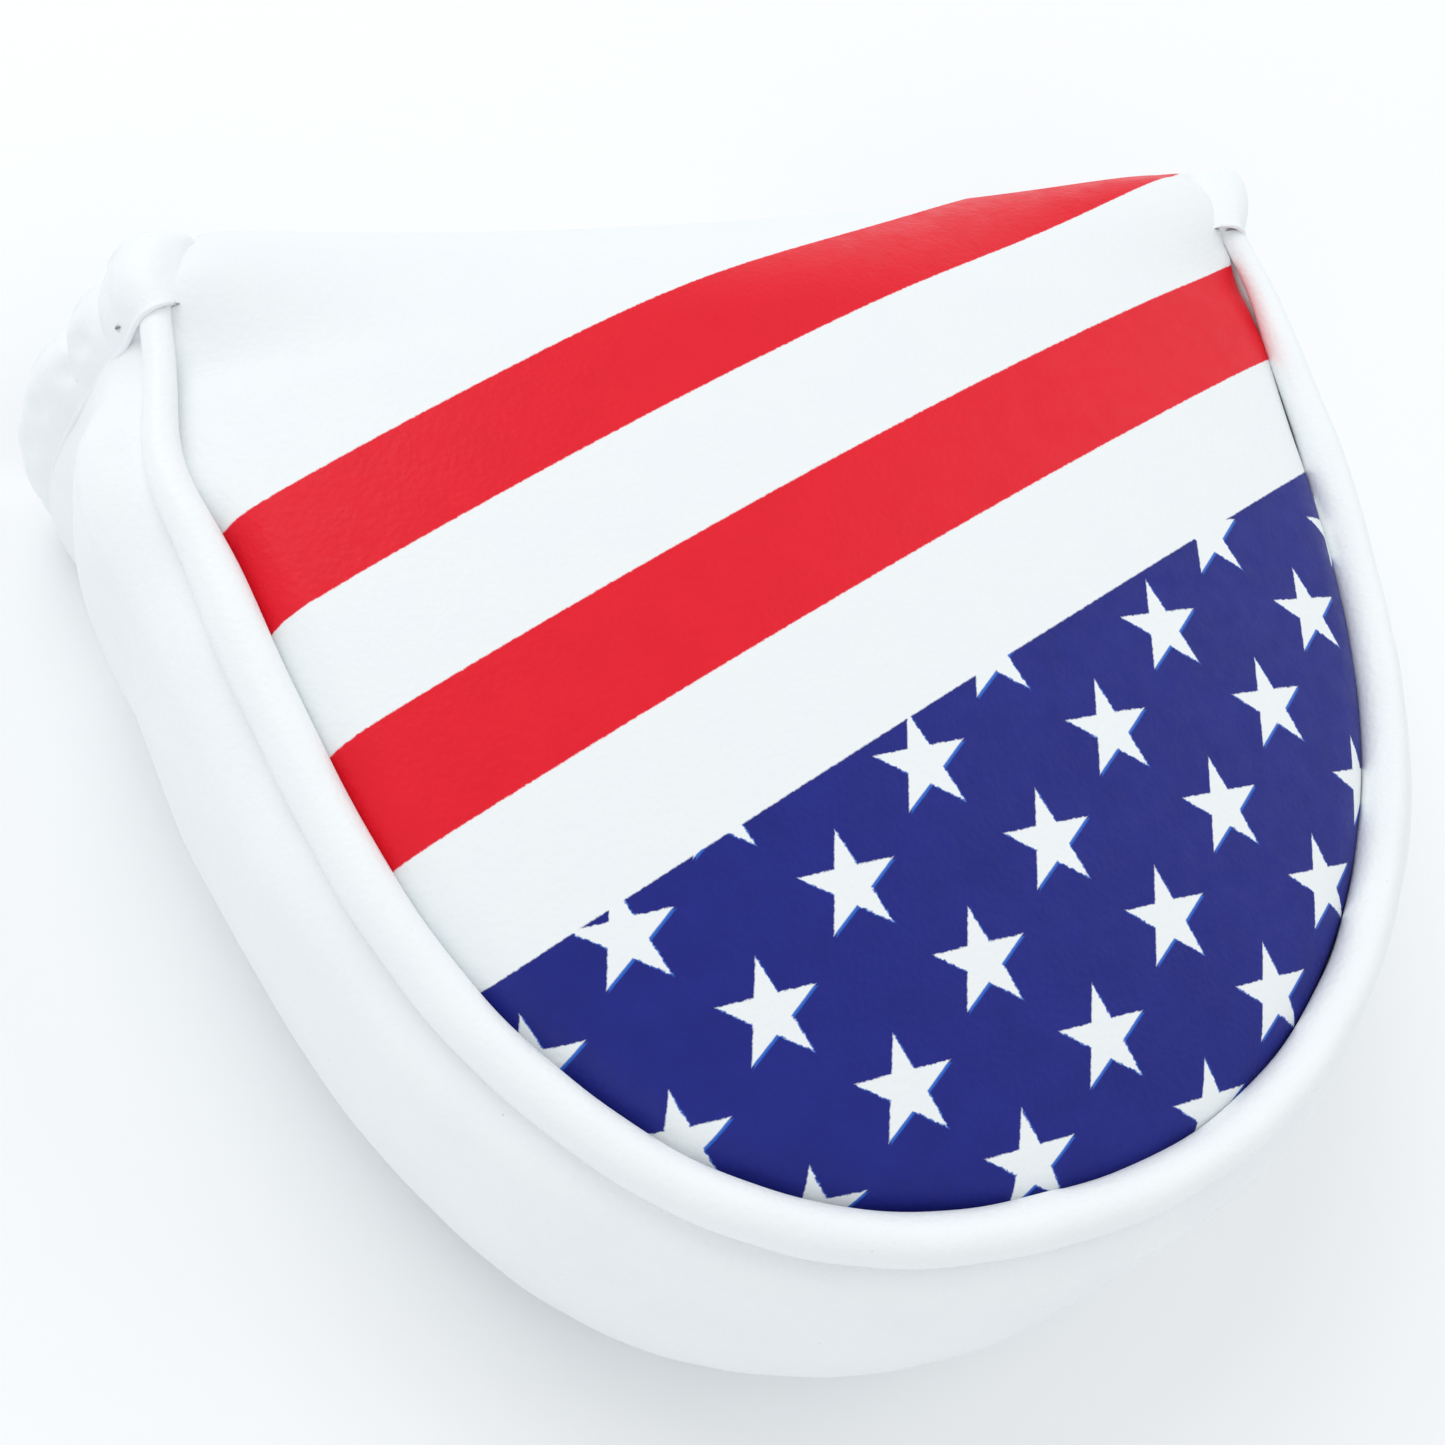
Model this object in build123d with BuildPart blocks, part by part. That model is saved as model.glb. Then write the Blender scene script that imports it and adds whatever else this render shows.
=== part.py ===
from build123d import *
import math
import os

# Putter head cover for a mallet putter: a D-shaped padded pouch.
# It lies on its sole, +Z is up, the flat mouth faces +Y and the round end faces -Y.
# The origin is at the middle of the bottom of its box. Millimetres.

os.makedirs("parts", exist_ok=True)

# Plan of the pouch
DEPTH = 107.5                 # from the round end's bulge to the flap's outer face
SHOULDER = 18.0               # from the widest line to the flap's outer face
PANEL_HALF_WIDTH = 56.0       # printed panel, at its widest
PANEL_REAR = 80.0             # printed panel, from the widest line to the round end
FRONT_TAPER = 64.0            # semi-axis of the curve that narrows the plan towards the mouth
OPEN_END = 4.0                # how far the nested forms run on past the mouth
SEAM_INSET = 3.5              # the gusset's top seam, outside the panel's edge
BELLY_SIDE = 6.5              # how far the padded wall bulges outside the panel at its sides
BELLY_REAR = 9.5              # and at the round end
SOLE_SIDE = 1.0               # the sole's edge, outside the panel's edge
SOLE_REAR = 5.0

# Heights
SEAM_HEIGHT_FRONT = 41.0      # plane of the top seam, at the mouth
SEAM_HEIGHT_REAR = 33.8       # and at the round end
BELLY_SHARE = 0.50            # the widest part of the wall, as a share of the seam's height
CROWN = 7.0                   # the top panel's rise above that plane
MITRE = 0.3                   # clearance between the flap and the pouch

# Layers: leather outside, foam, then plush lining
SKIN = 1.2
FOAM = 3.4
LINING = 1.2
SOLE_FOAM_TOP = 8.6
WELT_RADIUS = 2.4
WELT_LEATHER = 1.0

# Mouth
HEM_LENGTH = 8.0              # width of the elastic hem at each end of the gusset
HEM_THICKNESS = 2.4
HEM_FRONT = 1.6               # the hem's edge, behind the flap's outer face
ELASTIC_THICKNESS = 0.8
ELASTIC_MARGIN = 0.9
MOUTH_SETBACK = 8.4           # the sole's front edge, behind the flap's outer face
TOP_SETBACK = 5.2             # the top panel's front edge, behind it
BINDING = 0.8
BINDING_LAP = 6.0

# Closure flap, an L that covers the mouth and folds under the sole
FLAP_TOP_HALF_WIDTH = 48.0
FLAP_FOLD_HALF_WIDTH = 42.0
FLAP_FOAM = 2.2
FLAP_LINING = 1.2
FLAP_REACH = 54.0             # from the outer face to the tip of the tongue
FLAP_TIP_RADIUS = 26.0
FLAP_FOLD_RADIUS = 5.2
SHARPEST_FOLD = 0.2           # radius at the innermost layer of the fold
FLAP_EDGE = 1.0               # the flap's folded edge piping
HINGE_HEIGHT = 36.6
RECESS_CLEARANCE = 1.2

# Magnets
MAGNET_RADIUS = 6.0
MAGNET_THICKNESS = 1.6
MAGNET_SPACING = 44.0
MAGNET_SETBACK = 38.0
MAGNET_FIT = 0.05
MAGNET_COVER = 0.3            # foam between the flap's magnets and its skin

HAIR_GAP = 0.1                # keeps curved layers from touching
BIG = 200.0                   # longer than the cover, for cutting blocks
HALF_STACK = 26.0             # reaches past the panel's crown, above and below the seam
FULL_TURN_SHARE = 0.95        # keeps the front curve short of a quarter turn

FRONT_Y = DEPTH / 2           # outer face of the closure flap
WIDEST_Y = FRONT_Y - SHOULDER
FLAP_THICKNESS = SKIN + FLAP_FOAM + FLAP_LINING
WALL = SKIN + FOAM + LINING   # the same three layers in the gusset and the top panel
SOLE_TOP = SOLE_FOAM_TOP + LINING
RECESS_TOP = FLAP_THICKNESS + MITRE
HEM_SEAM_Y = FRONT_Y - HEM_LENGTH

tilt = math.atan2(SEAM_HEIGHT_FRONT - SEAM_HEIGHT_REAR, PANEL_REAR + SHOULDER)
seam_height = SEAM_HEIGHT_FRONT - math.tan(tilt) * SHOULDER


def leaning_plane(height, angle):
    """A plane through the widest line that rises towards the mouth."""
    normal = (0, -math.sin(angle), math.cos(angle))
    return Plane(origin=(0, WIDEST_Y, height), x_dir=(1, 0, 0), z_dir=normal)


seam_plane = leaning_plane(seam_height, tilt)
belly_plane = leaning_plane(seam_height * BELLY_SHARE, tilt * BELLY_SHARE)
sole_plane = leaning_plane(0, 0)

# The crown is part of a ball. Its middle is the middle of the panel.
panel_middle = (SHOULDER - PANEL_REAR) / 2
crown_radius = (PANEL_HALF_WIDTH**2 + CROWN**2) / (2 * CROWN)
crown_centre = seam_plane.from_local_coords(Vector(0, panel_middle, CROWN - crown_radius))


def d_curve(side, rear, reach):
    """The D's open curve, from the mouth's left, round the end, to its right."""
    front = FRONT_TAPER + side - PANEL_HALF_WIDTH
    turn = math.degrees(math.asin(min(reach / front, FULL_TURN_SHARE)))
    left = EllipticalCenterArc((0, 0), side, front, start_angle=180 - turn, arc_size=turn)
    end = EllipticalCenterArc((0, 0), side, rear, start_angle=180, arc_size=180)
    right = EllipticalCenterArc((0, 0), side, front, start_angle=0, arc_size=turn)
    return left, end, right


def d_face(side, rear, reach):
    """The same D as a face, closed straight across the mouth."""
    with BuildLine(Plane.XY) as outline:
        left, end, right = d_curve(side, rear, reach)
        Line(right @ 1, left @ 0)
    make_face(outline.edges())


def pouch_form(inset):
    """Outer form of the pouch, inset by a number of layers, and longer at the mouth."""
    reach = SHOULDER + OPEN_END + inset / 2
    with BuildPart() as form:
        with BuildSketch(sole_plane):
            d_face(PANEL_HALF_WIDTH + SOLE_SIDE - inset, PANEL_REAR + SOLE_REAR - inset, reach)
        with BuildSketch(belly_plane):
            d_face(PANEL_HALF_WIDTH + BELLY_SIDE - inset, PANEL_REAR + BELLY_REAR - inset, reach)
        with BuildSketch(seam_plane):
            d_face(PANEL_HALF_WIDTH + SEAM_INSET - inset, PANEL_REAR + SEAM_INSET - inset, reach)
        loft()
    return form.part


def slab(y_low, y_high, z_low, z_high):
    """A wide block between two values of Y and two of Z."""
    block = Box(BIG, y_high - y_low, z_high - z_low, mode=Mode.PRIVATE)
    return Pos(0, (y_low + y_high) / 2, (z_low + z_high) / 2) * block


def crown_layer(depth, thickness):
    """One layer of the crowned top panel, as deep below the outer surface as given."""
    with BuildPart() as layer:
        with BuildSketch(seam_plane):
            d_face(PANEL_HALF_WIDTH, PANEL_REAR, SHOULDER)
        extrude(amount=HALF_STACK, both=True)
        with Locations(crown_centre):
            Sphere(crown_radius - depth, mode=Mode.INTERSECT)
        with Locations(crown_centre):
            Sphere(crown_radius - depth - thickness, mode=Mode.SUBTRACT)
        add(slab(FRONT_Y - TOP_SETBACK - BINDING, BIG, -BIG, BIG), mode=Mode.SUBTRACT)
    return layer.part


def export(piece, name):
    piece.label = name
    export_step(piece, f"parts/{name}.step")


form_outer = pouch_form(0)
form_skin = pouch_form(SKIN)
form_foam = pouch_form(SKIN + FOAM)
form_lining = pouch_form(WALL)
form_hem = pouch_form(HEM_THICKNESS)
form_elastic_outer = pouch_form(ELASTIC_THICKNESS)
form_elastic_inner = pouch_form(2 * ELASTIC_THICKNESS)

# The room that the top panel's layers take inside the gusset
with BuildPart() as top_room:
    with BuildSketch(seam_plane):
        d_face(PANEL_HALF_WIDTH + HAIR_GAP, PANEL_REAR + HAIR_GAP, SHOULDER + OPEN_END)
    extrude(amount=HALF_STACK, both=True)
    with Locations(crown_centre):
        Sphere(crown_radius - WALL - HAIR_GAP, mode=Mode.SUBTRACT)


def wall_layer(outer, inner, bottom, top_plane):
    """One layer of the gusset, between two nested forms."""
    with BuildPart() as layer:
        add(outer)
        add(inner, mode=Mode.SUBTRACT)
        add(slab(HEM_SEAM_Y, BIG, -BIG, BIG), mode=Mode.SUBTRACT)
        add(slab(-BIG, BIG, -BIG, bottom), mode=Mode.SUBTRACT)
        split(bisect_by=top_plane, keep=Keep.BOTTOM)
        add(top_room.part, mode=Mode.SUBTRACT)
    return layer.part


# Top panel
export(crown_layer(0, SKIN), "top_panel_skin")
export(crown_layer(SKIN, FOAM), "top_panel_foam")
export(crown_layer(SKIN + FOAM, LINING), "top_panel_lining")

with BuildPart() as top_mouth_binding:
    with BuildSketch(seam_plane):
        d_face(PANEL_HALF_WIDTH, PANEL_REAR, SHOULDER)
    extrude(amount=HALF_STACK, both=True)
    with Locations(crown_centre):
        Sphere(crown_radius - SKIN / 2, mode=Mode.INTERSECT)
    with Locations(crown_centre):
        Sphere(crown_radius - WALL, mode=Mode.SUBTRACT)
    binding_front = FRONT_Y - TOP_SETBACK
    add(slab(binding_front - BINDING, binding_front, -BIG, BIG), mode=Mode.INTERSECT)
export(top_mouth_binding.part, "top_mouth_binding")

# Welt: leather rolled round a foam cord, along the panel's edge to the hem seam
welt_side = PANEL_HALF_WIDTH + WELT_RADIUS + HAIR_GAP
welt_rear = PANEL_REAR + WELT_RADIUS + HAIR_GAP


def welt_sweep(outer_radius, inner_radius):
    """The roll, or the cord inside it, along the panel's edge."""
    with BuildPart() as roll:
        with BuildLine(seam_plane) as path:
            d_curve(welt_side, welt_rear, HEM_SEAM_Y - WIDEST_Y + WELT_RADIUS)
        with BuildSketch(Plane(origin=path.wire() @ 0, z_dir=path.wire() % 0)):
            Circle(outer_radius)
            if inner_radius:
                Circle(inner_radius, mode=Mode.SUBTRACT)
        sweep(path=path.wire())
        add(slab(HEM_SEAM_Y, BIG, -BIG, BIG), mode=Mode.SUBTRACT)
    return roll.part


export(welt_sweep(WELT_RADIUS, WELT_RADIUS - WELT_LEATHER), "top_welt_cover")
export(welt_sweep(WELT_RADIUS - WELT_LEATHER, 0), "top_welt_cord")

# Gusset, the padded side wall
under_welt = seam_plane.offset(-WELT_RADIUS - HAIR_GAP)
export(wall_layer(form_outer, form_skin, SKIN, under_welt), "gusset_skin")
export(wall_layer(form_skin, form_foam, SOLE_FOAM_TOP, under_welt), "gusset_foam")
export(wall_layer(form_foam, form_lining, SOLE_TOP, under_welt), "gusset_lining")

# Elastic hems at the two ends of the gusset
with BuildPart() as elastic_band:
    add(form_elastic_outer)
    add(form_elastic_inner, mode=Mode.SUBTRACT)
    elastic_back = HEM_SEAM_Y + ELASTIC_MARGIN
    elastic_front = FRONT_Y - HEM_FRONT - ELASTIC_MARGIN
    add(slab(elastic_back, elastic_front, SKIN, BIG), mode=Mode.INTERSECT)
    split(bisect_by=seam_plane.offset(-ELASTIC_MARGIN), keep=Keep.BOTTOM)
    add(top_room.part, mode=Mode.SUBTRACT)

with BuildPart() as hem_band:
    add(form_outer)
    add(form_hem, mode=Mode.SUBTRACT)
    add(slab(HEM_SEAM_Y, FRONT_Y - HEM_FRONT, SKIN, BIG), mode=Mode.INTERSECT)
    add(top_room.part, mode=Mode.SUBTRACT)
    add(elastic_band.part, mode=Mode.SUBTRACT)

for side_name, side_plane in (("left", Keep.BOTTOM), ("right", Keep.TOP)):
    with BuildPart() as casing:
        add(hem_band.part)
        split(bisect_by=Plane.YZ, keep=side_plane)
    export(casing.part, f"hem_casing_{side_name}")
    with BuildPart() as elastic:
        add(elastic_band.part)
        split(bisect_by=Plane.YZ, keep=side_plane)
    export(elastic.part, f"hem_elastic_{side_name}")


def tongue_outline(grow):
    """The flap's tongue seen from below, and the recess round it when grown."""
    half = FLAP_FOLD_HALF_WIDTH + grow
    length = FLAP_REACH + grow
    with Locations((0, FRONT_Y - length / 2)):
        Rectangle(2 * half, length)
    rear_corners = vertices().group_by(Axis.Y)[0]
    fillet(rear_corners, FLAP_TIP_RADIUS + grow)


def recess_block(grow, height):
    """The room for the flap's tongue, cut up into the sole."""
    with BuildPart() as block:
        with BuildSketch(Plane.XY):
            tongue_outline(grow)
        extrude(amount=height)
    return block.part


def magnet_circles(radius):
    """A pair of circles where the magnets sit."""
    magnet_y = FRONT_Y - MAGNET_SETBACK
    with Locations((-MAGNET_SPACING / 2, magnet_y), (MAGNET_SPACING / 2, magnet_y)):
        Circle(radius)


# Sole, with a recess that takes the flap's tongue
sole_front = FRONT_Y - MOUTH_SETBACK - BINDING
magnet_floor = RECESS_TOP + SKIN + MAGNET_FIT

with BuildPart() as recess_lining:
    add(recess_block(RECESS_CLEARANCE + SKIN, RECESS_TOP + SKIN))
    add(slab(-BIG, sole_front, SKIN, BIG), mode=Mode.INTERSECT)

with BuildPart() as sole_skin:
    add(form_outer)
    add(slab(-BIG, sole_front, 0, SKIN), mode=Mode.INTERSECT)
    add(recess_lining.part)
    add(recess_block(RECESS_CLEARANCE, RECESS_TOP), mode=Mode.SUBTRACT)
export(sole_skin.part, "sole_skin")

with BuildPart() as sole_foam:
    add(form_skin)
    add(slab(-BIG, sole_front, SKIN, SOLE_FOAM_TOP), mode=Mode.INTERSECT)
    add(recess_block(RECESS_CLEARANCE + SKIN, RECESS_TOP + SKIN), mode=Mode.SUBTRACT)
    with BuildSketch(Plane.XY.offset(RECESS_TOP + SKIN)):
        magnet_circles(MAGNET_RADIUS + MAGNET_FIT)
    extrude(amount=MAGNET_THICKNESS + 2 * MAGNET_FIT, mode=Mode.SUBTRACT)
export(sole_foam.part, "sole_foam")

with BuildPart() as sole_lining:
    add(form_foam)
    add(slab(-BIG, sole_front, SOLE_FOAM_TOP, SOLE_TOP), mode=Mode.INTERSECT)
export(sole_lining.part, "sole_lining")

with BuildPart() as sole_magnets:
    with BuildSketch(Plane.XY.offset(magnet_floor)):
        magnet_circles(MAGNET_RADIUS)
    extrude(amount=MAGNET_THICKNESS)
export(sole_magnets.part, "sole_magnets")

with BuildPart() as binding_lap:
    add(form_lining)
    add(slab(sole_front - BINDING_LAP, sole_front, SOLE_TOP, SOLE_TOP + BINDING), mode=Mode.INTERSECT)

with BuildPart() as sole_mouth_binding:
    add(form_lining)
    add(slab(sole_front, sole_front + BINDING, RECESS_TOP, SOLE_TOP + BINDING), mode=Mode.INTERSECT)
    add(binding_lap.part)
export(sole_mouth_binding.part, "sole_mouth_binding")


def flap_layer(depth, thickness, edge):
    """One layer of the flap, a nested L seen from the side, with its edge drawn in."""
    near = FRONT_Y - depth
    far = near - thickness
    tip = FRONT_Y - FLAP_REACH
    top = HINGE_HEIGHT + FLAP_THICKNESS / 2
    with BuildPart() as layer:
        with BuildSketch(Plane.YZ):
            with BuildLine():
                outer = FilletPolyline(
                    (near, top), (near, depth), (tip, depth), radius=FLAP_FOLD_RADIUS - depth
                )
                inner_radius = max(FLAP_FOLD_RADIUS - depth - thickness, SHARPEST_FOLD)
                inner = FilletPolyline(
                    (far, top), (far, depth + thickness), (tip, depth + thickness), radius=inner_radius
                )
                Line(outer @ 0, inner @ 0)
                Line(outer @ 1, inner @ 1)
            make_face()
        extrude(amount=BIG / 2, both=True)
        with BuildSketch(Plane.XZ.offset(-FRONT_Y)):
            with BuildLine():
                Polyline(
                    (-FLAP_FOLD_HALF_WIDTH + edge, 0),
                    (FLAP_FOLD_HALF_WIDTH - edge, 0),
                    (FLAP_TOP_HALF_WIDTH - edge, top),
                    (-FLAP_TOP_HALF_WIDTH + edge, top),
                    close=True,
                )
            make_face()
        extrude(amount=BIG, mode=Mode.INTERSECT)
        with BuildSketch(Plane.XY):
            tongue_outline(-edge)
            with Locations((0, FRONT_Y)):
                Rectangle(BIG, 2 * FLAP_FOLD_RADIUS)
        extrude(amount=BIG, mode=Mode.INTERSECT)
        with BuildSketch(Plane.YZ):
            with Locations((FRONT_Y - FLAP_THICKNESS / 2, HINGE_HEIGHT)):
                Circle(FLAP_THICKNESS / 2)
            with Locations((0, HINGE_HEIGHT - BIG / 2)):
                Rectangle(BIG, BIG)
        extrude(amount=BIG / 2, both=True, mode=Mode.INTERSECT)
    return layer.part


# Closure flap
flap_magnet_floor = SKIN + MAGNET_COVER
flap_skin = flap_layer(0, SKIN, 0)
flap_lining = flap_layer(SKIN + FLAP_FOAM, FLAP_LINING, FLAP_EDGE)
with BuildPart() as flap_foam:
    add(flap_layer(SKIN, FLAP_FOAM, FLAP_EDGE))
    with BuildSketch(Plane.XY.offset(flap_magnet_floor - MAGNET_FIT)):
        magnet_circles(MAGNET_RADIUS + MAGNET_FIT)
    extrude(amount=MAGNET_THICKNESS + 2 * MAGNET_FIT, mode=Mode.SUBTRACT)

with BuildPart() as flap_binding:
    add(flap_layer(SKIN, FLAP_FOAM + FLAP_LINING, 0))
    add(flap_layer(SKIN, FLAP_FOAM + FLAP_LINING, FLAP_EDGE), mode=Mode.SUBTRACT)

with BuildPart() as flap_magnets:
    with BuildSketch(Plane.XY.offset(flap_magnet_floor)):
        magnet_circles(MAGNET_RADIUS)
    extrude(amount=MAGNET_THICKNESS)

export(flap_skin, "flap_skin")
export(flap_foam.part, "flap_foam")
export(flap_lining, "flap_lining")
export(flap_binding.part, "flap_binding")
export(flap_magnets.part, "flap_magnets")
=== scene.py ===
from math import atan2, cos, hypot, pi, radians, sin, sqrt, tan

import bmesh
import bpy
import numpy as np
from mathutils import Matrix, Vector


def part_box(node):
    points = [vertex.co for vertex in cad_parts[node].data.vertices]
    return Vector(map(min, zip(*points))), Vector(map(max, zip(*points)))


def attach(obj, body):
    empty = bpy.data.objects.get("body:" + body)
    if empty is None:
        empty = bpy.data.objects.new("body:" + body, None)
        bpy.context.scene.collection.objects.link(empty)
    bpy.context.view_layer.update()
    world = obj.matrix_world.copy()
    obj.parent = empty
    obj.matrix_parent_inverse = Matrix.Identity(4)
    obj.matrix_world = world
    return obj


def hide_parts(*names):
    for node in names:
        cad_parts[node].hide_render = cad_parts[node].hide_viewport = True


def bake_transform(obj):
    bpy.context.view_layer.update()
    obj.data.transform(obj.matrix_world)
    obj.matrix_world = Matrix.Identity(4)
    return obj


# A padded head cover for a mallet putter. Sizes here are millimetres in the CAD's frame,
# and become metres when a mesh is made.

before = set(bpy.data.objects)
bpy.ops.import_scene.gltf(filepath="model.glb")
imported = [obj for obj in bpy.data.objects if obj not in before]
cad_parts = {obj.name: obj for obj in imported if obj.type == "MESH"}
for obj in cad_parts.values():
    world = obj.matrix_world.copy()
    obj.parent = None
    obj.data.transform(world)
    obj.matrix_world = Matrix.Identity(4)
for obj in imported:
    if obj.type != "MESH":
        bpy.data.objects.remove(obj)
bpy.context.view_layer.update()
MM = 0.001


def edge_of(node, corner, axis):
    """One coordinate of a CAD node's box, in millimetres."""
    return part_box(node)[corner][axis] / MM


# Plan and seam plane, from the frame
HALF_WIDTH = edge_of("top_panel_skin", 1, 0)
FRONT = edge_of("flap_skin", 1, 1)
WIDEST = FRONT - 18.0  # the plan's widest line
SEAM_TILT = radians(4.2)
SEAM_FRONT = 41.0  # the seam plane's height at the mouth
SEAM_WIDEST = SEAM_FRONT - tan(SEAM_TILT) * 18.0

# The printed panel's outline: two curves that meet at the widest line
REAR = 80.6
REAR_POWER = 2.32
FRONT_TAPER = 63.0
MOUTH_Y = 17.0  # where the panel starts to fold over the mouth
MOUTH_BOW = 0.8  # how much further the mouth's edge reaches in its middle
CORNER_TUCK = 3.4  # how far the panel's left mouth corner is drawn in
CORNER_TUCK_RIGHT = -1.5
CORNER_START = 8.0

# The panel's crown, which dies towards the mouth while its corners stay up
CROWN = 7.24
CROWN_Y = -23.7
CROWN_REACH = 56.4
SIDE_FALL = 6.9
SIDE_TURN = 1.8
SIDE_START = 2.3
EDGE_ROLL = 0.6
EDGE_POWER = 14
SHOULDER_DROP = 3.2  # how far the panel dives beside the welt
SHOULDER_WIDTH = 4.2
EDGE_FLOOR = -0.75  # the lowest its edge goes beside the welt, near the mouth
MOUTH_FALL = 10.0
MOUTH_FALL_START = 0.85
MOUTH_FALL_LENGTH = 17.15
FOLD_RADIUS = 5.0
LEATHER_DROP = 3.0  # leather below the fold, down to the flap's seam

# Layers
SKIN = 1.2
FOAM = 3.4
LINING = 1.2
STACK = SKIN + FOAM + LINING
STACK_FRONT = 12.0  # the panel's foam and lining end here

# Welt
WELT_RADIUS = 2.3
WELT_THIN = 1.65  # its radius near the mouth
WELT_LEATHER = 0.8

# Hem
HEM_SEAM = FRONT - 8.0
HEM_EDGE = FRONT - 1.2
HEM_FOLD_RADIUS = 0.28

# Flap
FLAP_FACE = FRONT + 0.4
FLAP_THICK = 4.6
FLAP_TOP_HALF = 48.0
FLAP_FOLD_HALF = 42.0
FLAP_BEND = 5.6
FLAP_TIP_Y = FRONT - 54.0
FLAP_TIP_RADIUS = 26.0
FLAP_TOP_Z = 31.6
FLAP_TOP_RISE = 2.4  # how much higher its top is at its corners
FLAP_PUFF = 0.8
PIPING_RADIUS = 1.15

CLOTH_FRAMES = 20  # how long the wall's cloth simulation runs

# Sole
SOLE_FOAM_TOP = 8.6
SOLE_TOP = 9.8
RECESS_TOP = 4.9
SOLE_FRONT = FRONT - 9.2
SOLE_EDGE_POWER = 26  # how sharply the sole turns up at its edge

# Print, in flat millimetres from the widest line
STRIPE_LEAN = radians(19.3)
CANTON_EDGE = -36.0
STRIPE_WIDTHS = (12.1, 10.9, 11.5, 9.8)  # white, red, white, red
STAR_RADIUS = 4.7
STAR_WAIST = 0.39
STAR_PITCH = 20.0
STAR_ROW = 8.72
STAR_FIRST = (26.2, -34.7)
STAR_SHEAR = 0.04
STAR_TURN = -0.005
GHOST_SHIFT = (-0.16, 0.2)  # a pale blue fringe beside each star
PRINT_EDGE = 0.07  # half the width of a printed edge's blur


# ---------------- geometry helpers

def lift(x, y, z):
    """Points given on the seam plane, from the widest line, as points in the CAD's frame."""
    c, s = cos(SEAM_TILT), sin(SEAM_TILT)
    x, y, z = np.broadcast_arrays(x, y, z)
    return np.stack([x, WIDEST + y * c - z * s, SEAM_WIDEST + y * s + z * c], axis=-1)


def ease(x):
    x = np.clip(x, 0, 1)
    return x * x * (3 - 2 * x)


def half_width(y, grow=0.0, side=-1):
    """The panel's half-width, on one side, at a distance from the widest line."""
    front = np.sqrt(np.clip(1 - (np.maximum(y, 0) / (FRONT_TAPER + grow)) ** 2, 0.02, 1))
    rear = 1 - (np.clip(-y, 0, REAR + grow) / (REAR + grow)) ** REAR_POWER
    tuck = CORNER_TUCK if side < 0 else CORNER_TUCK_RIGHT
    tuck = tuck * (np.maximum(y - CORNER_START, 0) / (MOUTH_Y - CORNER_START)) ** 2
    return (HALF_WIDTH + grow) * front * rear ** (1 / REAR_POWER) - tuck


def panel_height(x, y):
    """The panel's height over the seam plane."""
    reach = np.clip(np.abs(x) / np.maximum(half_width(y), 1), 0, 1.05)
    rear = (np.abs(x / HALF_WIDTH) ** REAR_POWER + (np.maximum(-y, 0) / REAR) ** REAR_POWER)
    ring = np.where(y <= 0, rear ** (1 / REAR_POWER), reach)
    side = SIDE_FALL * (1 - SIDE_TURN * ease((y - SIDE_START) / (18 - SIDE_START)))
    fall = MOUTH_FALL * (np.maximum(y - MOUTH_FALL_START, 0) / MOUTH_FALL_LENGTH) ** 2
    crown = CROWN * (1 - ((y - CROWN_Y) / CROWN_REACH) ** 2)
    roll = EDGE_ROLL * (1 - np.clip(ring, 0, 1.1) ** EDGE_POWER)
    return crown - side * (x / HALF_WIDTH) ** 2 + roll - fall


def even_points(line, count):
    """A polyline's points, spread evenly along it."""
    along = lengths(line)
    at = np.linspace(0, along[-1], count)
    return np.stack([np.interp(at, along, line[:, k]) for k in range(line.shape[1])], axis=1)


def d_line(grow, count, reach):
    """The D from the mouth's left, round the end, to its right, in the seam plane."""
    turn = np.linspace(-pi / 2, pi / 2, 721)
    x = np.sign(np.sin(turn)) * np.abs(np.sin(turn)) ** (2 / REAR_POWER) * (HALF_WIDTH + grow)
    y = -np.abs(np.cos(turn)) ** (2 / REAR_POWER) * (REAR + grow)
    rise = np.linspace(0, reach, 80)[1:]
    left = np.stack([-half_width(rise, grow), rise], axis=1)[::-1]
    right = np.stack([half_width(rise, grow, side=1), rise], axis=1)
    line = even_points(np.vstack([left, np.stack([x, y], axis=1), right]), count)
    return even_points(line + outward(line) * side_swell(line)[:, None], count)


def side_swell(line):
    """The outline's small swell beside the mouth, and its draw-in behind it on the left."""
    x, y = line[:, 0], line[:, 1]
    left = 1.6 * np.exp(-(((y + 5) / 6.5) ** 2)) - 0.8 * np.exp(-(((y + 30) / 15) ** 2))
    right = 0.9 * np.exp(-(((y - 4) / 9) ** 2)) + 0.9 * np.exp(-(((y + 48) / 22) ** 2))
    return np.where(x < 0, left, right)


def outward(line):
    """Unit vectors pointing out of an open D line."""
    along = unit(np.gradient(line, axis=0))
    return np.stack([along[:, 1], -along[:, 0]], axis=1)


def curve_through(points, count):
    """A smooth open curve through a few points (Catmull-Rom)."""
    p = np.asarray(points, float)
    p = np.vstack([2 * p[0] - p[1], p, 2 * p[-1] - p[-2]])
    out = []
    for a, b, c, d in zip(p[:-3], p[1:-2], p[2:-1], p[3:]):
        t = np.linspace(0, 1, 24, endpoint=False)[:, None]
        out.append(0.5 * (2 * b + (c - a) * t + (2 * a - 5 * b + 4 * c - d) * t**2
                          + (3 * b - a - 3 * c + d) * t**3))
    out.append(p[-2][None])
    return even_points(np.concatenate(out), count)


def wobble(points, size, amount, seed):
    """A smooth random offset for each point, one number, the same on every run."""
    rng = np.random.default_rng(seed)
    total = np.zeros(points.shape[:-1])
    for _ in range(9):
        direction = rng.normal(size=3)
        direction /= np.linalg.norm(direction)
        wave = size * rng.uniform(0.6, 1.7)
        total += np.sin(points @ direction * (2 * pi / wave) + rng.uniform(0, 6.28))
    return total / 3 * amount


def unit(vectors):
    return vectors / np.linalg.norm(vectors, axis=1)[:, None]


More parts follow.
